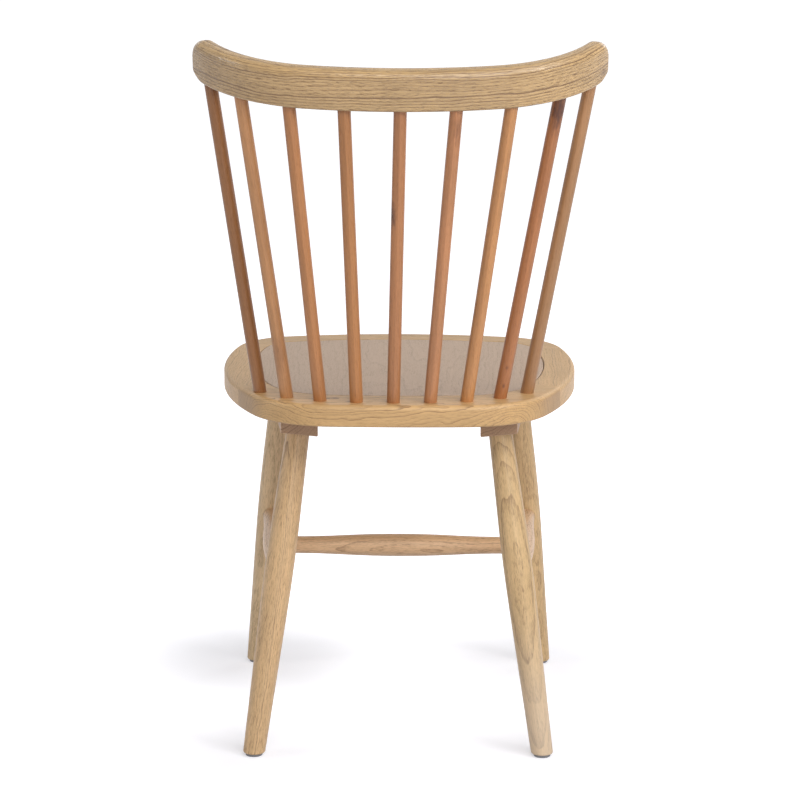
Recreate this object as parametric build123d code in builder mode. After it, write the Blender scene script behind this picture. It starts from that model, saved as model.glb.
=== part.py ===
from build123d import *
import os
from math import asin, cos, radians, sin, sqrt, tan

# A spindle-back dining chair in wood, in millimetres.
# +Z is up, the sitter faces -Y, and their left hand is at +X.
# The origin is on the floor, under the middle of the whole chair.

# Seat as a whole
seat_y = -48.5  # the seat's centre, from the origin
seat_height = 450.0
seat_width = 443.0
seat_depth = 425.0
seat_thickness = 26.5
widest_forward = 37.5  # the widest line, in front of the seat's centre
rear_edge_radius = 1800.0
rear_corner_radius = 110.0
side_radius = 420.0
front_corner_radius = 85.0
front_edge_radius = 630.0
seat_top_round = 6.0
seat_bottom_round = 2.5

# Seat rim, glued from four segments round a loose panel
rim_width = 38.5  # at the sides and the front
rear_rim_width = 54.0
panel_rear_radius = 900.0
panel_corner_radius = 85.0  # rear corners
rear_seam_angle = 20.0  # seen from the centre of the side's arc
front_seam_angle = -12.0
panel_gap = 1.0
groove_chamfer = 0.8
tongue_length = 4.0
tongue_thickness = 8.0
tongue_play = 0.2
dowel_diameter = 8.0
dowel_length = 36.0
dowel_inset = 10.0  # outer dowel, from the seat's edge
dowel_spacing = 13.0

# Back spindles
back_rake = 14.0  # degrees from upright, at the middle spindle
spindle_count = 9
spindle_inset = 21.0  # from the seat's rear edge to the middle spindle's axis
spindle_row_radius = 500.0  # the sockets' line on the seat
spindle_row_end_radius = 150.0
spindle_row_end_turn = 48.6  # degrees, from the middle to the outermost spindle
spindle_row_shift = 7.0  # the sockets' line is off centre, towards the left
spindle_side_inset = 60.3  # from the seat's side to the outermost spindle, before the shift
spindle_top_spacing = 63.8
spindle_top_end_spacing = 55.8  # from the outermost spindle to the next
spindle_length = 372.0  # middle spindle, seat to rail
spindle_base_diameter = 15.8
spindle_top_diameter = 15.2
spindle_tenon_diameter = 10.0
seat_tenon_length = 16.0
rail_tenon_length = 26.0

# Crest rail, bent forward at both ends
rail_height = 47.6
rail_thickness = 24.0
rail_length = 553.0  # along its centre line
rail_mid_radius = 623.0
rail_mid_turn = 9.9  # degrees, from the middle to where the tighter bend starts
rail_end_radius = 167.0
rail_top_round = 10.0
rail_end_round = 23.0
rail_bottom_round = 2.5
rail_end_rise = 16.0  # the underside's sweep up to each end
rail_end_sweep = 44.0

# Cleats under the seat
cleat_width = 45.0
cleat_thickness = 27.0  # at the middle of the width
cleat_bevel = 7.0  # degrees, the underside is square to the legs' splay
cleat_rear_overhang = 22.5  # past the rear leg's axis
cleat_front_overhang = 25.0
cleat_round = 1.5

# Legs: the axis at the cleat's underside, inside the seat's edges, and how far the foot splays from there
rear_leg_side_inset = 98.3
rear_leg_back_inset = 95.0
rear_leg_splay_out = 54.0
rear_leg_splay_back = 56.5
front_leg_side_inset = 68.8
front_leg_front_inset = 65.0
front_leg_splay_out = 38.8
front_leg_splay_forward = 44.5
leg_top_diameter = 28.4
leg_belly_diameter = 36.7  # where the two tapers would meet
leg_foot_diameter = 27.0
leg_belly_height = 238.0
leg_belly_blend = 2600.0
leg_foot_round = 2.0
leg_tenon_diameter = 22.0
leg_tenon_length = 18.0

# Stretchers
stretcher_height = 215.2
side_mid_diameter = 28.0
side_end_diameter = 21.0
side_plain_length = 13.5  # between the swell and the end
side_tenon_diameter = 16.0
side_shoulder = 12.0  # from the leg's axis to the shoulder
side_tenon_past = 5.0  # past the leg's axis
cross_mid_diameter = 28.8
cross_end_diameter = 21.6
cross_plain_length = 2.0
cross_neck_diameter = 16.0
cross_neck_length = 1.0  # outside the side stretcher
cross_cone_length = 5.0
cross_tenon_diameter = 11.0
cross_shoulder = 11.0  # from the side stretcher's axis to the shoulder
cross_tenon_past = 5.0

# Glides and fasteners
glide_diameter = 21.0
glide_height = 3.5
glide_round = 1.0
nail_head_diameter = 8.0
nail_head_thickness = 1.0
nail_head_recess = 1.0
nail_diameter = 2.5
nail_length = 20.0
nail_point = 4.0
screw_count = 3  # in each cleat
screw_head_diameter = 9.0
screw_diameter = 4.5
screw_length = 42.0
screw_recess = 0.8
screw_point = 5.0
screw_drive_length = 5.0
screw_drive_width = 1.2
screw_drive_depth = 1.8

# Clearances
glue_gap = 0.1  # all round a glued tenon or a fastener
end_gap = 0.5  # past the end of a tenon or a fastener

# Heights and centres that follow from the sizes above
half_width = seat_width / 2
half_depth = seat_depth / 2
seat_bottom = seat_height - seat_thickness
seat_plane = Plane(origin=(0, seat_y, seat_bottom))
cleat_bottom = seat_bottom - cleat_thickness
side_center = Vector(half_width - side_radius, -widest_forward)


def corner_center(center_a, reach_a, center_b, reach_b):
    """The outer point that lies reach_a from one centre and reach_b from the other."""
    gap = center_b - center_a
    along = (reach_a**2 - reach_b**2 + gap.length**2) / (2 * gap.length)
    rise = sqrt(reach_a**2 - along**2)
    direction = gap.normalized()
    foot = center_a + direction * along
    sideways = Vector(-direction.Y, direction.X) * rise
    return max(foot + sideways, foot - sideways, key=lambda point: point.X)


def touch_point(center, radius, corner):
    """Where an arc about center meets the corner arc inside it."""
    return center + (corner - center).normalized() * radius


def arc_middle(center, radius, start, end):
    """The point halfway along the arc from start to end."""
    return center + ((start - center) + (end - center)).normalized() * radius


def along_two_arcs(run, mid_radius, mid_turn, end_radius, outward=0.0):
    """Follow a shallow arc and then a tighter one, bending towards -Y, from the middle.

    run is the length along the curve, with its sign for the side. The point may lie outward of the curve.
    """
    mid_run = mid_radius * mid_turn
    if abs(run) <= mid_run:
        heading = abs(run) / mid_radius
        center = Vector(0, -mid_radius)
        radius = mid_radius
    else:
        heading = mid_turn + (abs(run) - mid_run) / end_radius
        center = Vector(0, -mid_radius) + Vector(sin(mid_turn), cos(mid_turn)) * (mid_radius - end_radius)
        radius = end_radius
    point = center + Vector(sin(heading), cos(heading)) * (radius + outward)
    return Vector(point.X if run >= 0 else -point.X, point.Y)


def profile_plane(start, direction):
    """A plane whose Y axis runs along a turned piece, for a profile that is revolved."""
    frame = Plane(origin=start, z_dir=direction)
    return Plane(origin=start, x_dir=frame.x_dir, z_dir=-frame.y_dir)


def save(part, name):
    """Label a finished piece and write it."""
    part.label = name
    export_step(part, f"parts/{name}.step")


def mirrored(part):
    """The same piece for the other side of the chair."""
    with BuildPart() as twin:
        mirror(part, about=Plane.YZ)
    return twin.part


os.makedirs("parts", exist_ok=True)

# Seat outline and panel outline: arcs that run into each other, for one half, then mirrored


def outline_arcs(inset, rear_inset, rear_radius, corner_radius):
    """Centre, radius, start and end of each arc of an outline that lies inside the seat's edge."""
    rear_middle = Vector(0, half_depth - rear_inset)
    front_middle = Vector(0, inset - half_depth)
    rear = (rear_middle - Vector(0, rear_radius), rear_radius)
    side = (side_center, side_radius - inset)
    front_corner_size = front_corner_radius - inset
    front = (front_middle + Vector(0, front_edge_radius - inset), front_edge_radius - inset)
    rear_corner = corner_center(rear[0], rear[1] - corner_radius, side[0], side[1] - corner_radius)
    front_corner = corner_center(
        front[0], front[1] - front_corner_size, side[0], side[1] - front_corner_size
    )
    rear_touch = touch_point(*rear, rear_corner)
    side_rear_touch = touch_point(*side, rear_corner)
    side_front_touch = touch_point(*side, front_corner)
    front_touch = touch_point(*front, front_corner)
    return [
        (*rear, rear_middle, rear_touch),
        (rear_corner, corner_radius, rear_touch, side_rear_touch),
        (*side, side_rear_touch, side_front_touch),
        (front_corner, front_corner_size, side_front_touch, front_touch),
        (*front, front_touch, front_middle),
    ]


with BuildSketch() as seat_outline:
    with BuildLine():
        for center, radius, start, end in outline_arcs(0, 0, rear_edge_radius, rear_corner_radius):
            ThreePointArc(start, arc_middle(center, radius, start, end), end)
        mirror(about=Plane.YZ)
    make_face()
with BuildSketch() as panel_outline:
    with BuildLine():
        for center, radius, start, end in outline_arcs(
            rim_width, rear_rim_width, panel_rear_radius, panel_corner_radius
        ):
            ThreePointArc(start, arc_middle(center, radius, start, end), end)
        mirror(about=Plane.YZ)
    make_face()

# Spindle axes: from a line inside the seat's edge to the rail's centre line
rake = radians(back_rake)
row_end_turn = radians(spindle_row_end_turn)
row_middle_width = half_width - spindle_side_inset - spindle_row_end_radius * sin(row_end_turn)
row_turn = asin(row_middle_width / (spindle_row_radius - spindle_row_end_radius))
row_half = spindle_row_radius * row_turn + spindle_row_end_radius * (row_end_turn - row_turn)
spindles_each_side = (spindle_count - 1) / 2
rail_turn = radians(rail_mid_turn)
back_up = Vector(0, sin(rake), cos(rake))
middle_base = Vector(0, seat_y + half_depth - spindle_inset, seat_height)
rail_plane = Plane(origin=middle_base + back_up * spindle_length, x_dir=(1, 0, 0), z_dir=back_up)
top_plane = Plane(origin=(0, seat_y, seat_height))
spindle_axes = []
for number in range(spindle_count):
    step = spindles_each_side - number
    base_run = step / spindles_each_side * row_half
    rail_run = step * spindle_top_spacing
    if number == 0:
        rail_run += spindle_top_end_spacing - spindle_top_spacing
    if number == spindle_count - 1:
        rail_run -= spindle_top_end_spacing - spindle_top_spacing
    base_point = along_two_arcs(base_run, spindle_row_radius, row_turn, spindle_row_end_radius)
    rail_point = along_two_arcs(rail_run, rail_mid_radius, rail_turn, rail_end_radius)
    base = top_plane.from_local_coords(base_point + Vector(spindle_row_shift, half_depth - spindle_inset))
    top = rail_plane.from_local_coords(rail_point)
    spindle_axes.append((base, top))

# Seams between the rim's segments, each square to the side's arc
seam_frames = []
for seam_angle in (front_seam_angle, rear_seam_angle):
    outward = Vector(cos(radians(seam_angle)), sin(radians(seam_angle)))
    for inset in (dowel_inset, dowel_inset + dowel_spacing):
        spot = side_center + outward * (side_radius - inset)
        spot = seat_plane.from_local_coords(Vector(spot.X, spot.Y, seat_thickness / 2))
        seam_frames.append(Plane(origin=spot, x_dir=outward, z_dir=(-outward.Y, outward.X, 0)))


def seam_point(angle, radius):
    """A point on a seam's line, at a distance from the centre of the side's arc."""
    return side_center + Vector(cos(radians(angle)), sin(radians(angle))) * radius


inner_reach = side_radius - half_width
outer_reach = side_radius + half_width
side_wedge = [
    seam_point(front_seam_angle, inner_reach),
    seam_point(front_seam_angle, outer_reach),
    seam_point(rear_seam_angle, outer_reach),
    seam_point(rear_seam_angle, inner_reach),
]

# Rim ring, before it is cut into segments
tongue_bottom = (seat_thickness - tongue_thickness) / 2
with BuildPart() as rim_ring:
    with BuildSketch(seat_plane):
        add(seat_outline.sketch)
    extrude(amount=seat_thickness)
    fillet(rim_ring.faces().sort_by(Axis.Z)[-1].edges(), radius=seat_top_round)
    fillet(rim_ring.faces().sort_by(Axis.Z)[0].edges(), radius=seat_bottom_round)
    with BuildSketch(seat_plane):
        add(panel_outline.sketch)
    extrude(amount=seat_thickness, mode=Mode.SUBTRACT)
    chamfer(rim_ring.faces().sort_by(Axis.Z)[-1].inner_wires()[0].edges(), length=groove_chamfer)
    with BuildSketch(seat_plane.offset(tongue_bottom)):
        offset(panel_outline.sketch, amount=tongue_length + tongue_play)
    extrude(amount=tongue_thickness + tongue_play, mode=Mode.SUBTRACT)
    for base, top in spindle_axes:
        with BuildSketch(Plane(origin=base, z_dir=base - top)):
            Circle(spindle_tenon_diameter / 2 + glue_gap)
        extrude(amount=seat_tenon_length + end_gap, both=True, mode=Mode.SUBTRACT)
    for frame in seam_frames:
        with BuildSketch(frame):
            Circle(dowel_diameter / 2 + glue_gap)
        extrude(amount=dowel_length / 2 + end_gap, both=True, mode=Mode.SUBTRACT)
        with BuildSketch(Plane(origin=(-frame.origin.X, frame.origin.Y, frame.origin.Z),
                               z_dir=(-frame.z_dir.X, frame.z_dir.Y, 0))):
            Circle(dowel_diameter / 2 + glue_gap)
        extrude(amount=dowel_length / 2 + end_gap, both=True, mode=Mode.SUBTRACT)

# Side segments of the rim
with BuildPart() as seat_rim_left:
    add(rim_ring.part)
    with BuildSketch(seat_plane):
        Polygon(*side_wedge, align=None)
    extrude(amount=seat_thickness, mode=Mode.INTERSECT)
save(seat_rim_left.part, "seat_rim_left")
save(mirrored(seat_rim_left.part), "seat_rim_right")

# Front and rear segments of the rim
for name, kept in (("seat_rim_rear", Keep.TOP), ("seat_rim_front", Keep.BOTTOM)):
    with BuildPart() as seat_rim:
        add(rim_ring.part)
        with BuildSketch(seat_plane):
            Polygon(*side_wedge, align=None)
            mirror(about=Plane.YZ)
        extrude(amount=seat_thickness, mode=Mode.SUBTRACT)
        split(bisect_by=Plane(origin=(0, seat_y, 0), z_dir=(0, 1, 0)), keep=kept)
    save(seat_rim.part, name)

# Dowels across the seams
with BuildPart() as rim_dowels:
    for frame in seam_frames:
        with BuildSketch(frame):
            Circle(dowel_diameter / 2)
        extrude(amount=dowel_length / 2, both=True)
    mirror(about=Plane.YZ)
save(rim_dowels.part, "rim_dowels")

# Cleat lines: each cleat runs along the tops of its two legs
rear_edge = seat_y + half_depth
front_edge = seat_y - half_depth
rear_top = Vector(half_width - rear_leg_side_inset, rear_edge - rear_leg_back_inset, cleat_bottom)
front_top = Vector(half_width - front_leg_side_inset, front_edge + front_leg_front_inset, cleat_bottom)
rear_foot = Vector(rear_top.X + rear_leg_splay_out, rear_top.Y + rear_leg_splay_back, glide_height)
front_foot = Vector(front_top.X + front_leg_splay_out, front_top.Y - front_leg_splay_forward, glide_height)
cleat_forward = (front_top - rear_top).normalized()
cleat_outward = Vector(-cleat_forward.Y, cleat_forward.X)
bevel = radians(cleat_bevel)
bevel_up = Vector(0, 0, 1) * cos(bevel) - cleat_outward * sin(bevel)
underside = Plane(origin=rear_top, x_dir=cleat_forward, z_dir=bevel_up)
leg_spacing = (front_top - rear_top).length
screw_frames = []
for number in range(screw_count):
    spot = underside.from_local_coords(((number + 1) / (screw_count + 1) * leg_spacing, 0, 0))
    screw_frames.append(profile_plane(spot, bevel_up))


def screw_profile(gap, start, stop):
    """Half of a countersunk screw, or of its hole with a gap all round it, from start to stop."""
    head = screw_head_diameter / 2
    shank = screw_diameter / 2
    return [
        (0, start),
        (head + gap, start),
        (head + gap, screw_recess),
        (shank + gap, screw_recess + head - shank),
        (shank + gap, stop),
        (0, stop),
    ]


# Seat panel, flush with the rim and held by its tongue
with BuildPart() as seat_panel:
    with BuildSketch(seat_plane):
        offset(panel_outline.sketch, amount=-panel_gap)
    extrude(amount=seat_thickness)
    chamfer(seat_panel.faces().sort_by(Axis.Z)[-1].edges(), length=groove_chamfer)
    with BuildSketch(seat_plane.offset(tongue_bottom)):
        offset(panel_outline.sketch, amount=tongue_length)
    extrude(amount=tongue_thickness)
    for frame in screw_frames:
        for side in (1, -1):
            spot = Vector(side * frame.origin.X, frame.origin.Y, frame.origin.Z)
            with BuildSketch(Plane(origin=spot, z_dir=(side * bevel_up.X, bevel_up.Y, bevel_up.Z))):
                Circle(screw_diameter / 2 + glue_gap)
            extrude(amount=screw_length + end_gap, mode=Mode.SUBTRACT)
save(seat_panel.part, "seat_panel")

# Crest rail: a band between two offset curves, raised along the rake and rounded, before its sockets
with BuildPart() as rail_body:
    rail_turn_run = rail_mid_radius * rail_turn
    rail_half = rail_length / 2
    rail_runs = [0, rail_turn_run / 2, rail_turn_run, (rail_turn_run + rail_half) / 2, rail_half]
    with BuildSketch(rail_plane):
        with BuildLine():
            end_corners = []
            for outward in (rail_thickness / 2, -rail_thickness / 2):
                points = [
                    along_two_arcs(run, rail_mid_radius, rail_turn, rail_end_radius, outward)
                    for run in rail_runs
                ]
                ThreePointArc(points[0], points[1], points[2])
                ThreePointArc(points[2], points[3], points[4])
                end_corners.append(points[4])
            Line(end_corners[0], end_corners[1])
            mirror(about=Plane.YZ)
        make_face()
    extrude(amount=rail_height)
    rail_axis = Axis(rail_plane.origin, back_up)
    top_edges = rail_body.faces().sort_by(rail_axis)[-1].edges().sort_by(Axis.X)
    fillet([top_edges[0], top_edges[-1]], radius=rail_end_round)
    bottom_edges = rail_body.faces().sort_by(rail_axis)[0].edges()
    curves = rail_body.edges().filter_by(GeomType.LINE, reverse=True)
    uprights = rail_body.edges().filter_by(rail_axis)
    fillet([edge for edge in curves + uprights if edge not in bottom_edges], radius=rail_top_round)
    fillet(rail_body.faces().sort_by(rail_axis)[0].edges(), radius=rail_bottom_round)
    end_heading = rail_turn + (rail_half - rail_turn_run) / rail_end_radius
    for side in (1, -1):
        end_point = along_two_arcs(side * rail_half, rail_mid_radius, rail_turn, rail_end_radius)
        outgoing = rail_plane.x_dir * side * cos(end_heading) - rail_plane.y_dir * sin(end_heading)
        end_origin = rail_plane.from_local_coords(end_point)
        with BuildSketch(Plane(origin=end_origin, x_dir=outgoing, z_dir=outgoing.cross(back_up))):
            with BuildLine():
                TangentArc((-rail_end_sweep, 0), (0, rail_end_rise), tangent=(1, 0))
                Polyline(
                    (0, rail_end_rise),
                    (rail_end_sweep, rail_end_rise),
                    (rail_end_sweep, -rail_end_rise),
                    (-rail_end_sweep, -rail_end_rise),
                    (-rail_end_sweep, 0),
                )
            make_face()
        extrude(amount=rail_thickness, both=True, mode=Mode.SUBTRACT)

# Spindles: a slim cone cut to the seat and the rail, with a tenon at each end
for number, (base, top) in enumerate(spindle_axes, start=1):
    direction = (top - base).normalized()
    length = (top - base).length
    spare = spindle_base_diameter
    with BuildPart() as spindle:
        with BuildSketch(Plane(origin=base - direction * spare, z_dir=direction)):
            Circle(spindle_base_diameter / 2)
        with BuildSketch(Plane(origin=top + direction * spare, z_dir=direction)):
            Circle(spindle_top_diameter / 2)
        loft()
        split(bisect_by=top_plane, keep=Keep.TOP)
        add(rail_body.part, mode=Mode.SUBTRACT)
        with BuildSketch(Plane(origin=base - direction * seat_tenon_length, z_dir=direction)):
            Circle(spindle_tenon_diameter / 2)
        extrude(amount=seat_tenon_length + length + rail_tenon_length)
    save(spindle.part, f"spindle_{number}")

# Crest rail with its sockets
with BuildPart() as crest_rail:
    add(rail_body.part)
    for base, top in spindle_axes:
        with BuildSketch(Plane(origin=top, z_dir=top - base)):
            Circle(spindle_tenon_diameter / 2 + glue_gap)
        extrude(amount=rail_tenon_length + end_gap, both=True, mode=Mode.SUBTRACT)
save(crest_rail.part, "crest_rail")

# Leg axes and the points where the side stretchers meet them
leg_axes = {"rear": (rear_top, rear_foot), "front": (front_top, front_foot)}


def on_leg(name, height):
    """The point on a leg's axis at a height above the floor."""
    top, foot = leg_axes[name]
    return foot + (top - foot) * ((height - foot.Z) / (top.Z - foot.Z))


rear_joint = on_leg("rear", stretcher_height)
front_joint = on_leg("front", stretcher_height)
side_middle = (rear_joint + front_joint) / 2
side_forward = (front_joint - rear_joint).normalized()
side_half = (front_joint - rear_joint).length / 2
cross_inward = Vector(-1, 0, 0)
side_housing = leg_belly_diameter / 2 - side_shoulder
cross_housing = side_mid_diameter / 2 - cross_shoulder + cross_neck_length
nail_top = nail_head_recess + nail_length

# Cleat, with the legs' sockets and the screws' holes
cleat_start = Plane(
    origin=Vector(rear_top.X, rear_top.Y, seat_bottom) - cleat_forward * cleat_rear_overhang,
    x_dir=cleat_outward,
    z_dir=cleat_forward,
)
bevel_drop = cleat_width / 2 * tan(bevel)
with BuildPart() as cleat_left:
    with BuildSketch(cleat_start):
        with BuildLine():
            Polyline(
                (-cleat_width / 2, 0),
                (cleat_width / 2, 0),
                (cleat_width / 2, bevel_drop - cleat_thickness),
                (-cleat_width / 2, -bevel_drop - cleat_thickness),
                close=True,
            )
        make_face()
    extrude(amount=cleat_rear_overhang + leg_spacing + cleat_front_overhang)
    top_face = cleat_left.faces().sort_by(Axis.Z)[-1]
    fillet([edge for edge in cleat_left.edges() if edge not in top_face.edges()], radius=cleat_round)
    for top, foot in leg_axes.values():
        with BuildSketch(Plane(origin=top, z_dir=top - foot)):
            Circle(leg_tenon_diameter / 2 + glue_gap)
        extrude(amount=leg_tenon_length + end_gap, both=True, mode=Mode.SUBTRACT)
    for frame in screw_frames:
        with BuildSketch(frame):
            Polygon(*screw_profile(glue_gap, -cleat_thickness, 2 * cleat_thickness), align=None)
        revolve(axis=Axis(frame.origin, bevel_up), mode=Mode.SUBTRACT)
save(cleat_left.part, "cleat_left")
save(mirrored(cleat_left.part), "cleat_right")

# Screws that hold the cleats to the panel
with BuildPart() as cleat_screws:
    for frame in screw_frames:
        with BuildSketch(frame):
            Polygon(*screw_profile(0, screw_recess, screw_length - screw_point), align=None)
            Polygon(
                (0, screw_length - screw_point),
                (screw_diameter / 2, screw_length - screw_point),
                (0, screw_length),
                align=None,
            )
        revolve(axis=Axis(frame.origin, bevel_up))
        with BuildSketch(Plane(origin=frame.origin + bevel_up * screw_recess, z_dir=bevel_up)):
            Rectangle(screw_drive_length, screw_drive_width)
            Rectangle(screw_drive_width, screw_drive_length)
        extrude(amount=screw_drive_depth, mode=Mode.SUBTRACT)
    mirror(about=Plane.YZ)
save(cleat_screws.part, "cleat_screws")

# Legs: two tapers that meet in a soft belly, cut to the cleat and the glide
for name, (top, foot) in leg_axes.items():
    leg_up = (top - foot).normalized()
    leg_length = (top - foot).length
    spare = leg_top_diameter
    belly_run = (leg_belly_height - glide_height) / leg_up.Z
    belly_radius = leg_belly_diameter / 2
    foot_slope = (belly_radius - leg_foot_diameter / 2) / belly_run
    top_slope = (belly_radius - leg_top_diameter / 2) / (leg_length - belly_run)
    low = (leg_foot_diameter / 2 - foot_slope * spare, -spare)
    high = (leg_top_diameter / 2 - top_slope * spare, leg_length + spare)
    toward_middle = side_forward if name == "rear" else -side_forward
    joint = on_leg(name, stretcher_height)
    shoulder = joint + toward_middle * side_shoulder
    tenon_end = joint - toward_middle * side_tenon_past
    with BuildPart() as leg:
        with BuildSketch(profile_plane(foot, leg_up)):
            with BuildLine():
                FilletPolyline(low, (belly_radius, belly_run), high, radius=leg_belly_blend)
                Polyline(high, (0, high[1]), (0, low[1]), low)
            make_face()
        revolve(axis=Axis(foot, leg_up))
        split(bisect_by=underside, keep=Keep.BOTTOM)
        split(bisect_by=Plane.XY.offset(glide_height), keep=Keep.TOP)
        fillet(leg.faces().sort_by(Axis.Z)[0].edges(), radius=leg_foot_round)
        with BuildSketch(Plane(origin=top, z_dir=leg_up)):
            Circle(leg_tenon_diameter / 2)
        extrude(amount=leg_tenon_length, both=True)
        with BuildSketch(Plane(origin=shoulder, z_dir=toward_middle)):
            Circle(side_end_diameter / 2 + glue_gap)
        extrude(amount=leg_belly_diameter, mode=Mode.SUBTRACT)
        with BuildSketch(Plane(origin=tenon_end, z_dir=toward_middle)):
            Circle(side_tenon_diameter / 2 + glue_gap)
        extrude(amount=side_shoulder + side_tenon_past, mode=Mode.SUBTRACT)
        with BuildSketch(Plane(origin=tenon_end, z_dir=-toward_middle)):
            Circle(side_tenon_diameter / 2 + glue_gap)
        extrude(amount=end_gap, mode=Mode.SUBTRACT)
        with BuildSketch(Plane(origin=foot)):
            Circle(nail_diameter / 2 + glue_gap)
        extrude(amount=nail_top + end_gap - glide_height, mode=Mode.SUBTRACT)
    save(leg.part, f"leg_{name}_left")
    save(mirrored(leg.part), f"leg_{name}_right")


def turned_rod(middle, direction, mid_radius, end_radius, plain, neck, shoulder, tenon_radius, tenon_end):
    """A rod that swells at the middle, necks in at each shoulder and ends in a tenon.

    neck is the radius at the shoulder, the length that keeps it, and the length of the cone up to it.
    plain is the length between the cone and the swell.
    """
    neck_radius, neck_length, cone_length = neck
    cone_end = shoulder - neck_length - cone_length
    swell = cone_end - plain
    halfway = (mid_radius + end_radius) / 2
    with BuildPart() as rod:
        with BuildSketch(profile_plane(middle, direction)):
            with BuildLine():
                belly = TangentArc((mid_radius, 0), (halfway, swell / 2), tangent=(0, 1))
                TangentArc(belly @ 1, (end_radius, swell), tangent=belly % 1)
                Polyline(
                    (end_radius, swell),
                    (end_radius, cone_end),
                    (neck_radius, shoulder - neck_length),
                    (neck_radius, shoulder),
                    (tenon_radius, shoulder),
                    (tenon_radius, tenon_end),
                    (0, tenon_end),
                )
                mirror(about=Plane.XZ)
                Line((0, tenon_end), (0, -tenon_end))
            make_face()
        revolve(axis=Axis(middle, direction))
    return rod.part


# Side stretchers, with a socket for the cross stretcher
with BuildPart() as side_stretcher:
    add(turned_rod(
        side_middle,
        side_forward,
        side_mid_diameter / 2,
        side_end_diameter / 2,
        side_plain_length,
        (side_end_diameter / 2, side_housing, side_housing),
        side_half - side_shoulder,
        side_tenon_diameter / 2,
        side_half + side_tenon_past,
    ))
    with BuildSketch(Plane(origin=side_middle + cross_inward * cross_shoulder, z_dir=cross_inward)):
        Circle(cross_neck_diameter / 2 + glue_gap)
    extrude(amount=side_mid_diameter, mode=Mode.SUBTRACT)
    socket_end = side_middle - cross_inward * (cross_tenon_past + end_gap)
    with BuildSketch(Plane(origin=socket_end, z_dir=cross_inward)):
        Circle(cross_tenon_diameter / 2 + glue_gap)
    extrude(amount=cross_shoulder + cross_tenon_past + end_gap, mode=Mode.SUBTRACT)
save(side_stretcher.part, "side_stretcher_left")
save(mirrored(side_stretcher.part), "side_stretcher_right")

# Cross stretcher
cross_stretcher = turned_rod(
    Vector(0, side_middle.Y, stretcher_height),
    Vector(1, 0, 0),
    cross_mid_diameter / 2,
    cross_end_diameter / 2,
    cross_plain_length,
    (cross_neck_diameter / 2, cross_housing, cross_cone_length),
    side_middle.X - cross_shoulder,
    cross_tenon_diameter / 2,
    side_middle.X + cross_tenon_past,
)
save(cross_stretcher, "cross_stretcher")

# Glides under the feet
feet = {"rear": rear_foot, "front": front_foot}
for name, foot in feet.items():
    with BuildPart() as glide:
        with BuildSketch(Plane(origin=(foot.X, foot.Y, 0))):
            Circle(glide_diameter / 2)
        extrude(amount=glide_height)
        fillet(glide.faces().sort_by(Axis.Z)[0].edges(), radius=glide_round)
        with BuildSketch(Plane(origin=(foot.X, foot.Y, 0))):
            Circle(nail_head_diameter / 2 + glue_gap)
        extrude(amount=nail_head_recess + nail_head_thickness, mode=Mode.SUBTRACT)
        with BuildSketch(Plane(origin=(foot.X, foot.Y, 0))):
            Circle(nail_diameter / 2 + glue_gap)
        extrude(amount=glide_height, mode=Mode.SUBTRACT)
    save(glide.part, f"glide_{name}_left")
    save(mirrored(glide.part), f"glide_{name}_right")

# Nails that hold the glides
with BuildPart() as glide_nails:
    for foot in feet.values():
        with BuildSketch(Plane(origin=(foot.X, foot.Y, 0), x_dir=(1, 0, 0), z_dir=(0, -1, 0))):
            Polygon(
                (0, nail_head_recess),
                (nail_head_diameter / 2, nail_head_recess),
                (nail_head_diameter / 2, nail_head_recess + nail_head_thickness),
                (nail_diameter / 2, nail_head_recess + nail_head_thickness),
                (nail_diameter / 2, nail_top - nail_point),
                (0, nail_top),
                align=None,
            )
        revolve(axis=Axis((foot.X, foot.Y, 0), (0, 0, 1)))
    mirror(about=Plane.YZ)
save(glide_nails.part, "glide_nails")
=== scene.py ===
"""A spindle-back dining chair in pale open-grained wood, on a white studio floor.

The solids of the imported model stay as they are. Each one gets its own wood, cut from a log whose
rings, pores and fibres run along that piece. Lengths are in metres unless a name says mm.
"""
from math import cos, pi, radians, sin

import bpy
import numpy as np
from mathutils import Matrix, Vector


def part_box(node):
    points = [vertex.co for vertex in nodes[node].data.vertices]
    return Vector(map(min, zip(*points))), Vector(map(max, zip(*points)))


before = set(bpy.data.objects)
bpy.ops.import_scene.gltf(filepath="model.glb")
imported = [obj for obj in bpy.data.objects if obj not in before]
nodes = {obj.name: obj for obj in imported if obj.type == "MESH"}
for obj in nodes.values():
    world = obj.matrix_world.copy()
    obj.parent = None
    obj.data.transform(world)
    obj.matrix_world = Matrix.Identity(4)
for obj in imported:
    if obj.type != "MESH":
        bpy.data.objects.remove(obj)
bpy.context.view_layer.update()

# Camera, behind the chair at the photo's angle
CAMERA_PLACE = (0.0, 3.414, 1.2124)
CAMERA_DOWN = radians(13.076)
CAMERA_ROLL = radians(0.2)
CAMERA_SENSOR = 36.0
CAMERA_LENS = 127.1
CAMERA_SHIFT = 0.0009

# Light
AMBIENT = 0.16
SOFTBOXES = {  # degrees right of the camera's line, degrees up, distance, width, height, watts
    "key_low": (52.0, 28.0, 3.6, 1.1, 1.1, 34.0),
    "key_high": (56.0, 52.0, 3.6, 2.2, 2.2, 36.0),
    "front": (11.0, 38.0, 3.6, 2.8, 0.4, 42.0),
    "low": (16.0, 13.0, 3.8, 1.4, 1.4, 31.0),
    "left": (-80.0, 18.0, 3.6, 1.0, 1.0, 21.0),
    "far_right": (140.0, 26.0, 3.6, 1.4, 1.4, 15.0),
    "far_left": (-145.0, 26.0, 3.6, 1.4, 1.4, 7.0),
}
LIGHT_TARGET = Vector((0.0, 0.0, 0.5))

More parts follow.
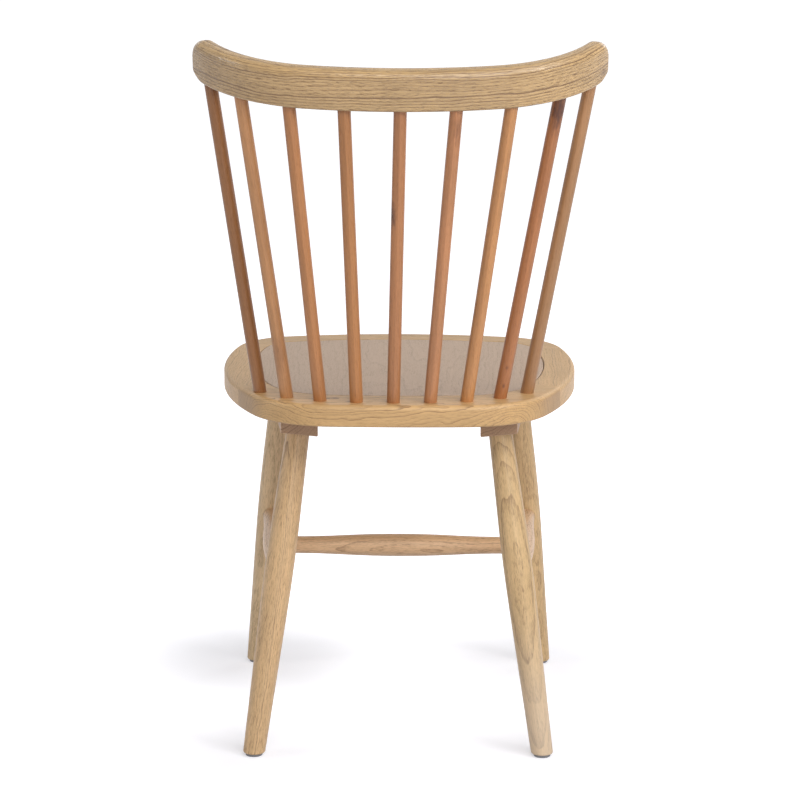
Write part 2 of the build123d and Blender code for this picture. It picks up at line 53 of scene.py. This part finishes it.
# Floor: the shadows fade into white further from each foot
FLOOR_REACH = 12.0
FLOOR_LIFT = 0.5
SHADOW_NEAR = 0.03
SHADOW_FAR = 0.28
FLOOR_PAPER = (0.62, 0.62, 0.65, 1.0)
FLOOR_GLOW = (0.97, 0.97, 1.0, 1.0)
WHITE = (1.0, 1.0, 1.0, 1.0)

# Crest rail's bend, as in the solid: two arcs from the middle to each end, on a raked plane
BACK_RAKE = radians(14.0)
RAIL_FOOT = Vector((0.0, 0.143, 0.450))
RAIL_RISE = 0.372
RAIL_MID_RADIUS = 0.623
RAIL_MID_TURN = radians(9.9)
RAIL_END_RADIUS = 0.167

# Relief of the grain
BUMP_STRENGTH = 0.25
BUMP_DISTANCE = 0.0006

# Grain: sizes of the noises in mm, along the fibres and twice across
WANDER_SIZE = (190.0, 40.0, 40.0)
RIPPLE_SIZE = (40.0, 18.0, 18.0)
UNEVEN_SIZE = (14.0, 1.0, 1.0)
FIBRE_SIZE = (42.0, 1.1, 1.1)
STREAK_SIZE = (150.0, 4.0, 4.0)
DASH_SIZE = (24.0, 1.4, 1.4)
SPECK_SIZE = (8.0, 0.8, 0.8)
CLOUD_SIZE = (140.0, 30.0, 30.0)

# Grain: how far the rings stray in mm, how uneven they are and how soon their dark start comes, in rings
WANDER_REACH = 12.0
RING_UNEVEN = 2.6
RING_RISE = 0.07

# Each piece's own part of the noises, in mm for a seed of 1
SEED_STEP = (431.0, 97.0, 173.0)

# Tones of a wood, as shares of its base colour
PALE_SHARE = (1.12, 1.12, 1.12)
WARM_SHARE = (0.90, 0.90, 0.90)
EARLY_SHARE = (0.40, 0.34, 0.30)
PORE_SHARE = (0.30, 0.24, 0.20)
KNOT_SHARE = (0.16, 0.10, 0.09)
KNOT_SWIRL = (0.012, 0.004, 0.004)

# Painted sheen of the white floor's light on a leg's low end: its tint, and where it is full, from the leg's
# middle
FOOT_SHEEN_TINT = (0.75, 0.62, 0.5, 1.0)
FOOT_SHEEN_END = -0.2

# Plastic and steel: tones as shares of the colour, and a fine relief
HARD_DARK = (0.86, 0.86, 0.86)
HARD_PALE = (1.1, 1.1, 1.1)
HARD_GRAIN = (0.0016, 0.0016, 0.0016)
HARD_BUMP_STRENGTH = 0.15
HARD_BUMP_DISTANCE = 0.0002


def srgb(red, green, blue):
    """A colour given as it looks on a screen, 0 to 255, for a shader."""
    levels = [level / 255 for level in (red, green, blue)]
    linear = [l / 12.92 if l <= 0.04045 else ((l + 0.055) / 1.055) ** 2.4 for l in levels]
    return Vector(linear)


def shade(base, share):
    """A colour made darker or paler, for a socket."""
    return (*(level * part for level, part in zip(base, share)), 1.0)


# Node helpers


def join(tree, value, socket):
    """Give a socket a value or a link. None leaves it as it is."""
    if isinstance(value, bpy.types.NodeSocket):
        tree.links.new(value, socket)
    elif value is not None:
        socket.default_value = value


def put(tree, kind, *inputs, **options):
    """Add a node, with its options and, in order, its inputs."""
    new = tree.nodes.new(kind)
    for name, value in options.items():
        setattr(new, name, value)
    for socket, value in zip(new.inputs, inputs):
        join(tree, value, socket)
    return new


def calc(tree, operation, *values):
    """A Math node's output."""
    return put(tree, "ShaderNodeMath", *values, operation=operation).outputs[0]


def vector(tree, operation, *values):
    """A Vector Math node's vector."""
    return put(tree, "ShaderNodeVectorMath", *values, operation=operation).outputs["Vector"]


def times(tree, direction, factor):
    """A vector times a number."""
    new = put(tree, "ShaderNodeVectorMath", direction, operation="SCALE")
    join(tree, factor, new.inputs["Scale"])
    return new.outputs["Vector"]


def length_of(tree, direction):
    """A vector's length."""
    return put(tree, "ShaderNodeVectorMath", direction, operation="LENGTH").outputs["Value"]


def noise(tree, place, grain, detail=2.0, rough=0.5):
    """A noise node whose features are about as long as grain along each axis."""
    new = tree.nodes.new("ShaderNodeTexNoise")
    join(tree, vector(tree, "DIVIDE", place, grain), new.inputs["Vector"])
    new.inputs["Scale"].default_value = 1.0
    new.inputs["Detail"].default_value = detail
    new.inputs["Roughness"].default_value = rough
    return new


def smooth(tree, value, low, high, start=0.0, end=1.0):
    """A soft step from start to end as value goes from low to high."""
    options = dict(interpolation_type="SMOOTHSTEP")
    return put(tree, "ShaderNodeMapRange", value, low, high, start, end, **options).outputs[0]


def tint(tree, factor, first, second):
    """A colour between two others."""
    new = put(tree, "ShaderNodeMix", data_type="RGBA", blend_type="MIX")
    join(tree, factor, new.inputs["Factor"])
    colors = [socket for socket in new.inputs if socket.type == "RGBA"]
    join(tree, first, colors[0])
    join(tree, second, colors[1])
    return next(socket for socket in new.outputs if socket.type == "RGBA")


def seen_rays(tree):
    """1 for rays from the camera, a mirror or a clear body, 0 for the others."""
    rays = tree.nodes.new("ShaderNodeLightPath").outputs
    shown = calc(tree, "MAXIMUM", rays["Is Camera Ray"], rays["Is Glossy Ray"])
    return calc(tree, "MAXIMUM", shown, rays["Is Transmission Ray"])


def relief(tree, height, strength, distance, shader):
    """A bump on a shader."""
    bump = put(tree, "ShaderNodeBump")
    bump.inputs["Strength"].default_value = strength
    bump.inputs["Distance"].default_value = distance
    join(tree, height, bump.inputs["Height"])
    join(tree, bump.outputs[0], shader.inputs["Normal"])


def wood_group():
    """Solid wood: growth rings about a pith line, pores in the early wood, fibres along the grain.

    The place is in metres with X along the grain. Pith is the pith line's distance from the piece's
    axis in mm, lean its slope there, and bow how fast the slope changes, per metre. Ring is a ring's
    width in mm. End is 1 where the grain meets the surface end on.
    """
    tree = bpy.data.node_groups.new("solid_wood", "ShaderNodeTree")
    sockets = tree.interface
    for name in ("Place", "Seed", "Pith", "Lean", "Bow"):
        sockets.new_socket(name, in_out="INPUT", socket_type="NodeSocketVector")
    for name in ("Ring", "Lines", "Pores", "Mottle", "Wave", "End", "Rough"):
        sockets.new_socket(name, in_out="INPUT", socket_type="NodeSocketFloat")
    for name in ("Pale", "Warm", "Early", "Pore"):
        sockets.new_socket(name, in_out="INPUT", socket_type="NodeSocketColor")
    sockets.new_socket("Color", in_out="OUTPUT", socket_type="NodeSocketColor")
    for name in ("Roughness", "Height"):
        sockets.new_socket(name, in_out="OUTPUT", socket_type="NodeSocketFloat")
    given = tree.nodes.new("NodeGroupInput").outputs
    made = tree.nodes.new("NodeGroupOutput").inputs

    # Distance from the pith line, with a slow wander and a short ripple
    place = times(tree, given["Place"], 1000.0)
    own = vector(tree, "ADD", place, given["Seed"])
    middle = (0.5, 0.5, 0.5)
    wander = vector(tree, "SUBTRACT", noise(tree, own, WANDER_SIZE).outputs["Color"], middle)
    ripple = vector(tree, "SUBTRACT", noise(tree, own, RIPPLE_SIZE).outputs["Color"], middle)
    stray = vector(tree, "ADD", times(tree, wander, WANDER_REACH), times(tree, ripple, given["Wave"]))
    along = put(tree, "ShaderNodeSeparateXYZ", place).outputs[0]
    bowed = calc(tree, "MULTIPLY", calc(tree, "MULTIPLY", along, along), 0.001)
    drift = vector(tree, "ADD", times(tree, given["Lean"], along), times(tree, given["Bow"], bowed))
    drift = vector(tree, "ADD", stray, drift)
    from_pith = vector(tree, "SUBTRACT", vector(tree, "ADD", place, drift), given["Pith"])
    radius = length_of(tree, vector(tree, "MULTIPLY", from_pith, (0.0, 1.0, 1.0)))

    # Rings of uneven width, each with a thin dark start that fades
    spread = put(tree, "ShaderNodeCombineXYZ", radius, 0.0, 0.0).outputs[0]
    uneven = noise(tree, vector(tree, "ADD", spread, given["Seed"]), UNEVEN_SIZE).outputs[0]
    years = calc(tree, "MULTIPLY_ADD", uneven, RING_UNEVEN, calc(tree, "DIVIDE", radius, given["Ring"]))
    phase = calc(tree, "FRACT", years)
    rise = smooth(tree, phase, 0.0, RING_RISE)
    fade = calc(tree, "SUBTRACT", 1.0, phase)
    early = calc(tree, "MULTIPLY", calc(tree, "POWER", fade, 2.0), rise)
    thin = calc(tree, "MULTIPLY", calc(tree, "POWER", fade, 4.0), rise)
    year = calc(tree, "FLOOR", years)
    strong = put(tree, "ShaderNodeTexWhiteNoise", None, year, noise_dimensions="1D").outputs["Value"]
    strong = calc(tree, "MULTIPLY_ADD", calc(tree, "POWER", strong, 1.6), 1.5, 0.2)

    # Fibres, dashes of open pores and slow changes of tone
    fibre = noise(tree, own, FIBRE_SIZE, detail=3.0, rough=0.6).outputs[0]
    streak = noise(tree, own, STREAK_SIZE).outputs[0]
    dash = smooth(tree, noise(tree, own, DASH_SIZE).outputs[0], 0.42, 0.60)
    speck = smooth(tree, noise(tree, own, SPECK_SIZE, rough=0.6).outputs[0], 0.50, 0.60)
    cloud = noise(tree, own, CLOUD_SIZE).outputs[0]
    pores = calc(tree, "MULTIPLY", speck, calc(tree, "MULTIPLY_ADD", early, 0.6, 0.4))
    pores = calc(tree, "MULTIPLY", pores, given["Pores"])
    broken = calc(tree, "MULTIPLY_ADD", dash, 0.55, 0.6)
    line = calc(tree, "MULTIPLY", calc(tree, "MULTIPLY", thin, strong), broken)
    line = calc(tree, "MULTIPLY_ADD", smooth(tree, fibre, 0.46, 0.70), 0.22, line)
    line = calc(tree, "MINIMUM", calc(tree, "MULTIPLY", line, given["Lines"]), 1.0)

    # Colour
    warmth = calc(tree, "MULTIPLY_ADD", streak, 0.45, calc(tree, "MULTIPLY", cloud, 0.55))
    warmth = calc(tree, "MULTIPLY", smooth(tree, warmth, 0.34, 0.66), given["Mottle"])
    color = tint(tree, warmth, given["Pale"], given["Warm"])
    color = tint(tree, line, color, given["Early"])
    color = tint(tree, pores, color, given["Pore"])
    color = tint(tree, calc(tree, "MULTIPLY", given["End"], 0.5), color, given["Early"])
    join(tree, color, made["Color"])

    # Surface: satin lacquer that sinks into the pores
    roughness = calc(tree, "MULTIPLY_ADD", pores, 0.3, given["Rough"])
    join(tree, calc(tree, "MULTIPLY_ADD", fibre, 0.12, roughness), made["Roughness"])
    height = calc(tree, "MULTIPLY_ADD", pores, -1.0, calc(tree, "MULTIPLY", fibre, 0.35))
    join(tree, calc(tree, "MULTIPLY_ADD", early, -0.35, height), made["Height"])
    return tree


WOOD = wood_group()


def straight(origin, axes):
    """Says how to place wood on a straight piece: X along its grain, and where the end grain shows."""
    def place(tree):
        given = tree.nodes.new("ShaderNodeTexCoord").outputs
        turn = axes.to_euler()
        where = put(tree, "ShaderNodeMapping", given["Object"], origin, turn, vector_type="TEXTURE")
        facing = put(tree, "ShaderNodeVectorMath", given["Normal"], axes.col[0], operation="DOT_PRODUCT")
        end = smooth(tree, calc(tree, "ABSOLUTE", facing.outputs["Value"]), 0.7, 0.98)
        return where.outputs[0], end
    return place


def bent_rail(tree):
    """Places wood on the crest rail: X along the bend, Y outward, Z up the rake."""
    up = Vector((0.0, sin(BACK_RAKE), cos(BACK_RAKE)))
    out = Vector((0.0, cos(BACK_RAKE), -sin(BACK_RAKE)))
    axes = Matrix((Vector((1.0, 0.0, 0.0)), out, up)).transposed()
    flat, _ = straight(RAIL_FOOT + up * RAIL_RISE, axes)(tree)
    x, y, z = put(tree, "ShaderNodeSeparateXYZ", flat).outputs
    side = calc(tree, "ABSOLUTE", x)

    def arc(center_x, center_y, radius, run, turn):
        """Length along one arc, distance outward of it, and heading."""
        dx = calc(tree, "SUBTRACT", side, center_x)
        dy = calc(tree, "SUBTRACT", y, center_y)
        heading = calc(tree, "ARCTAN2", dx, dy)
        length = calc(tree, "MULTIPLY_ADD", calc(tree, "SUBTRACT", heading, turn), radius, run)
        reach = length_of(tree, put(tree, "ShaderNodeCombineXYZ", dx, dy, 0.0).outputs[0])
        return length, calc(tree, "SUBTRACT", reach, radius), heading

    shift = RAIL_MID_RADIUS - RAIL_END_RADIUS
    end_x = shift * sin(RAIL_MID_TURN)
    end_y = shift * cos(RAIL_MID_TURN) - RAIL_MID_RADIUS
    mid = arc(0.0, -RAIL_MID_RADIUS, RAIL_MID_RADIUS, 0.0, 0.0)
    end = arc(end_x, end_y, RAIL_END_RADIUS, RAIL_MID_RADIUS * RAIL_MID_TURN, RAIL_MID_TURN)
    beyond = calc(tree, "GREATER_THAN", mid[2], RAIL_MID_TURN)
    length = put(tree, "ShaderNodeMix", beyond, None, mid[0], end[0]).outputs[0]
    outward = put(tree, "ShaderNodeMix", beyond, None, mid[1], end[1]).outputs[0]
    length = calc(tree, "MULTIPLY", length, calc(tree, "SIGN", x))
    return put(tree, "ShaderNodeCombineXYZ", length, outward, z).outputs[0], 0.0


def wood(name, place, look, seed, pith, lean, bow=(0.0, 0.0), knots=()):
    """One piece's wood. A knot has a place, a size and a strength. A look's foot paints pale floor sheen on
    the low end.
    """
    material = bpy.data.materials.new(name)
    material.use_nodes = True
    tree = material.node_tree
    shader = tree.nodes["Principled BSDF"]
    where, end = place(tree)
    group = put(tree, "ShaderNodeGroup", node_tree=WOOD)
    join(tree, where, group.inputs["Place"])
    join(tree, end, group.inputs["End"])
    base = srgb(*look["base"])
    for socket, value in {
        "Seed": tuple(seed * step for step in SEED_STEP),
        "Pith": (0.0, *pith),
        "Lean": (0.0, *lean),
        "Bow": (0.0, *bow),
        "Ring": look["ring_mm"],
        "Lines": look["lines"],
        "Pores": look["pores"],
        "Mottle": look["mottle"],
        "Wave": look["wave_mm"],
        "Rough": look["rough"],
        "Pale": shade(base, PALE_SHARE),
        "Warm": shade(base, WARM_SHARE),
        "Early": shade(base, EARLY_SHARE),
        "Pore": shade(base, PORE_SHARE),
    }.items():
        group.inputs[socket].default_value = value
    color = group.outputs["Color"]
    for center, size, strength in knots:
        swirl = noise(tree, where, KNOT_SWIRL).outputs[0]
        away = length_of(tree, vector(tree, "DIVIDE", vector(tree, "SUBTRACT", where, center), size))
        away = calc(tree, "MULTIPLY_ADD", swirl, 1.2, away)
        mark = smooth(tree, away, 0.6, 1.7, strength, 0.0)
        color = tint(tree, mark, color, shade(base, KNOT_SHARE))
    # Painted sheen: the low end is tinted paler, standing in for the white floor's reflection and bounce
    # light
    if "foot" in look:
        along = put(tree, "ShaderNodeSeparateXYZ", where).outputs[0]
        painted_sheen = smooth(tree, along, 0.0, FOOT_SHEEN_END, 0.0, look["foot"])
        color = tint(tree, painted_sheen, color, FOOT_SHEEN_TINT)
    join(tree, color, shader.inputs["Base Color"])
    join(tree, group.outputs["Roughness"], shader.inputs["Roughness"])
    shader.inputs["Specular IOR Level"].default_value = look["gloss"]
    relief(tree, group.outputs["Height"], BUMP_STRENGTH, BUMP_DISTANCE, shader)
    return material


def long_axes(name):
    """Middle and axes of a rod-shaped node: X along it, Y and Z across."""
    points = np.array([vertex.co for vertex in nodes[name].data.vertices])
    middle = (points.min(0) + points.max(0)) / 2
    along = Vector(np.linalg.svd(points - points.mean(0), full_matrices=False)[2][0])
    if max(along, key=abs) < 0:
        along = -along
    rear = Vector((0.0, 1.0, 0.0))
    aside = rear if abs(along.dot(rear)) < 0.9 else Vector((0.0, 0.0, 1.0))
    across = along.cross(aside).normalized()
    return Vector(middle), Matrix((along, across, along.cross(across))).transposed()


def box_axes(name, turn):
    """Middle of a node's box, and axes with the grain turned about the vertical."""
    low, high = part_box(name)
    return (low + high) / 2, Matrix.Rotation(turn, 3, "Z")


def dress(name, material):
    """Put a material on a CAD node."""
    slots = nodes[name].data.materials
    for index in range(len(slots)):
        slots[index] = material


# Woods
RAIL = dict(
    base=(192, 158, 109), ring_mm=3.4, lines=2.0, pores=1.0, mottle=0.9, wave_mm=4.5, rough=0.2, gloss=0.65)
RIM = dict(
    base=(197, 159, 109), ring_mm=2.8, lines=0.8, pores=0.3, mottle=0.7, wave_mm=7.0, rough=0.38, gloss=0.5)
PANEL = dict(
    base=(177, 150, 125), ring_mm=2.4, lines=0.25, pores=0.25, mottle=0.2, wave_mm=3.0, rough=0.38, gloss=0.5)
LEG = dict(ring_mm=3.0, lines=0.75, pores=0.6, mottle=0.8, wave_mm=5.0, rough=0.34, gloss=0.5)
LEG_LOOKS = {
    # Painted light: this leg's base is paler than the other legs, standing in for light it lacks where it
    # sits in shade
    "front_left": dict(LEG, base=(222, 192, 150)),
    "front_right": dict(LEG, base=(203, 170, 124)),
    "rear_left": dict(LEG, base=(207, 172, 128), ring_mm=2.2, lines=0.9, pores=0.65, wave_mm=3.0),
    # Its foot sets a painted pale sheen of floor light on the low end
    "rear_right": dict(LEG, base=(204, 172, 126), ring_mm=4.0, lines=0.8, wave_mm=3.5, foot=0.45),
}
ROD = dict(LEG, base=(212, 174, 134), lines=0.45, wave_mm=3.0)
CLEAT = dict(
    base=(202, 166, 132), ring_mm=3.8, lines=1.2, pores=0.5, mottle=0.8, wave_mm=3.0, rough=0.45, gloss=0.5)
STICK = dict(ring_mm=2.2, lines=0.14, pores=0.25, mottle=1.0, wave_mm=3.0, rough=0.34, gloss=0.5)
STICK_BASES = [
    (145, 97, 56), (185, 133, 88), (174, 118, 72), (171, 116, 69), (173, 117, 75),
    (184, 127, 85), (187, 132, 83), (167, 108, 65), (165, 121, 81),
]
STICK_KNOTS = {
    2: [((-0.140, 0.0, -0.006), (0.030, 0.010, 0.010), 0.25)],
    5: [((0.052, -0.006, -0.003), (0.018, 0.007, 0.010), 1.0)],
    6: [((0.160, 0.004, -0.005), (0.026, 0.009, 0.010), 0.45)],
    8: [
        ((0.172, 0.002, -0.005), (0.034, 0.018, 0.018), 1.0),
        ((-0.154, 0.001, -0.006), (0.004, 0.0025, 0.006), 0.7),
        ((-0.178, 0.001, -0.006), (0.004, 0.0025, 0.006), 0.7),
    ],
}

dress("crest_rail", wood(
    "crest_rail_wood", bent_rail, RAIL, 1.0, (70.0, -90.0), (0.0, 0.015),
    knots=[((-0.256, 0.010, 0.012), (0.012, 0.008, 0.007), 0.55)],
))
for index, (name, turn, pith) in enumerate((
    ("seat_rim_rear", 0.0, (34.0, -20.0)),
    ("seat_rim_front", 0.0, (-30.0, -8.0)),
    ("seat_rim_left", pi / 2, (-60.0, -20.0)),
    ("seat_rim_right", pi / 2, (60.0, -20.0)),
)):
    place = straight(*box_axes(name, turn))
    dress(name, wood(name + "_wood", place, RIM, 2.0 + index, pith, (0.05, 0.03)))
dress("seat_panel", wood(
    "seat_panel_wood", straight(*box_axes("seat_panel", pi / 2)), PANEL, 8.0, (25.0, -300.0), (0.02, 0.02)))
for number, base in enumerate(STICK_BASES, start=1):
    name = f"spindle_{number}"
    look = dict(STICK, base=base)
    dress(name, wood(
        name + "_wood", straight(*long_axes(name)), look, 10.0 + number, (22.0, 18.0), (0.02, 0.03),
        knots=STICK_KNOTS.get(number, ()),
    ))
for index, (corner, pith, lean, bow) in enumerate((
    ("front_left", (20.0, 40.0), (0.02, 0.02), (0.0, 0.0)),
    ("front_right", (-20.0, 40.0), (0.02, 0.02), (0.0, 0.0)),
    ("rear_left", (30.0, 30.0), (0.02, 0.01), (0.0, 0.0)),
    ("rear_right", (2.0, 24.0), (0.0, 0.012), (0.0, 0.32)),
)):
    name = f"leg_{corner}"
    place = straight(*long_axes(name))
    dress(name, wood(name + "_wood", place, LEG_LOOKS[corner], 30.0 + index, pith, lean, bow))
for index, name in enumerate(("side_stretcher_left", "side_stretcher_right", "cross_stretcher")):
    place = straight(*long_axes(name))
    dress(name, wood(name + "_wood", place, ROD, 40.0 + index, (10.0, 30.0), (0.01, 0.02)))
for index, name in enumerate(("cleat_left", "cleat_right")):
    place = straight(*long_axes(name))
    dress(name, wood(name + "_wood", place, CLEAT, 50.0 + index, (45.0, -45.0), (0.02, 0.01)))
dress("rim_dowels", wood(
    "rim_dowels_wood", straight(*box_axes("rim_dowels", pi / 2)), ROD, 60.0, (20.0, 20.0), (0.0, 0.0)))


def hard(name, color, rough, metal):
    """A hard plain material with a fine change of tone and a fine relief."""
    material = bpy.data.materials.new(name)
    material.use_nodes = True
    tree = material.node_tree
    shader = tree.nodes["Principled BSDF"]
    place = tree.nodes.new("ShaderNodeTexCoord").outputs["Object"]
    grain = noise(tree, place, HARD_GRAIN, detail=4.0, rough=0.6).outputs[0]
    base = srgb(*color)
    tone = tint(tree, smooth(tree, grain, 0.3, 0.7), shade(base, HARD_DARK), shade(base, HARD_PALE))
    join(tree, tone, shader.inputs["Base Color"])
    join(tree, calc(tree, "MULTIPLY_ADD", grain, 0.2, rough - 0.1), shader.inputs["Roughness"])
    shader.inputs["Metallic"].default_value = metal
    relief(tree, grain, HARD_BUMP_STRENGTH, HARD_BUMP_DISTANCE, shader)
    return material


glide_plastic = hard("glide_plastic", (132, 132, 135), 0.5, 0.0)
for end in ("front", "rear"):
    for side in ("left", "right"):
        dress(f"glide_{end}_{side}", glide_plastic)
fastener_steel = hard("fastener_steel", (188, 188, 190), 0.35, 1.0)
for name in ("cleat_screws", "glide_nails"):
    dress(name, fastener_steel)

# Floor, lifted to white for the camera, with the shadows near the feet
corners = [(x * FLOOR_REACH, y * FLOOR_REACH, 0.0) for x, y in ((-1, -1), (1, -1), (1, 1), (-1, 1))]
floor_mesh = bpy.data.meshes.new("floor")
floor_mesh.from_pydata(corners, [], [(0, 1, 2, 3)])
floor = bpy.data.objects.new("floor", floor_mesh)
bpy.context.scene.collection.objects.link(floor)
floor_white = bpy.data.materials.new("floor_white")
floor_white.use_nodes = True
tree = floor_white.node_tree
tree.nodes.clear()
spot = tree.nodes.new("ShaderNodeTexCoord").outputs["Object"]
away = FLOOR_REACH
for end in ("front", "rear"):
    for side in ("left", "right"):
        low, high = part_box(f"glide_{end}_{side}")
        foot = ((low.x + high.x) / 2, (low.y + high.y) / 2, 0.0)
        away = calc(tree, "MINIMUM", away, length_of(tree, vector(tree, "SUBTRACT", spot, foot)))
lift = smooth(tree, away, SHADOW_NEAR, SHADOW_FAR, FLOOR_LIFT, 1.0)
lift = calc(tree, "MULTIPLY", lift, seen_rays(tree))
paper = put(tree, "ShaderNodeBsdfDiffuse", FLOOR_PAPER).outputs[0]
glow = put(tree, "ShaderNodeEmission", FLOOR_GLOW, lift).outputs[0]
put(tree, "ShaderNodeOutputMaterial", put(tree, "ShaderNodeAddShader", paper, glow).outputs[0])
floor_mesh.materials.append(floor_white)

# World: white where it is seen or mirrored, plain ambient light elsewhere
world = bpy.data.worlds.new("studio")
bpy.context.scene.world = world
world.use_nodes = True
tree = world.node_tree
tree.nodes.clear()
strength = calc(tree, "MULTIPLY_ADD", seen_rays(tree), 1.0 - AMBIENT, AMBIENT)
sky = put(tree, "ShaderNodeBackground", WHITE, strength).outputs[0]
put(tree, "ShaderNodeOutputWorld", sky)

# Softboxes
for name, (turn, rise, distance, width, height, watts) in SOFTBOXES.items():
    turn, rise = radians(turn), radians(rise)
    toward = Vector((-sin(turn) * cos(rise), cos(turn) * cos(rise), sin(rise)))
    light = bpy.data.lights.new(name, "AREA")
    light.shape = "RECTANGLE"
    light.size = width
    light.size_y = height
    light.energy = watts
    lamp = bpy.data.objects.new(name, light)
    lamp.location = LIGHT_TARGET + toward * distance
    lamp.rotation_euler = toward.to_track_quat("Z", "Y").to_euler()
    bpy.context.scene.collection.objects.link(lamp)

# Camera
camera_data = bpy.data.cameras.new("photo_camera")
camera_data.sensor_width = CAMERA_SENSOR
camera_data.lens = CAMERA_LENS
camera_data.shift_x = CAMERA_SHIFT
camera = bpy.data.objects.new("photo_camera", camera_data)
camera.matrix_world = (
    Matrix.Translation(CAMERA_PLACE)
    @ Matrix.Rotation(pi, 4, "Z")
    @ Matrix.Rotation(pi / 2 - CAMERA_DOWN, 4, "X")
    @ Matrix.Rotation(CAMERA_ROLL, 4, "Z")
)
bpy.context.scene.collection.objects.link(camera)
bpy.context.scene.camera = camera
bpy.context.scene.view_settings.view_transform = "Standard"
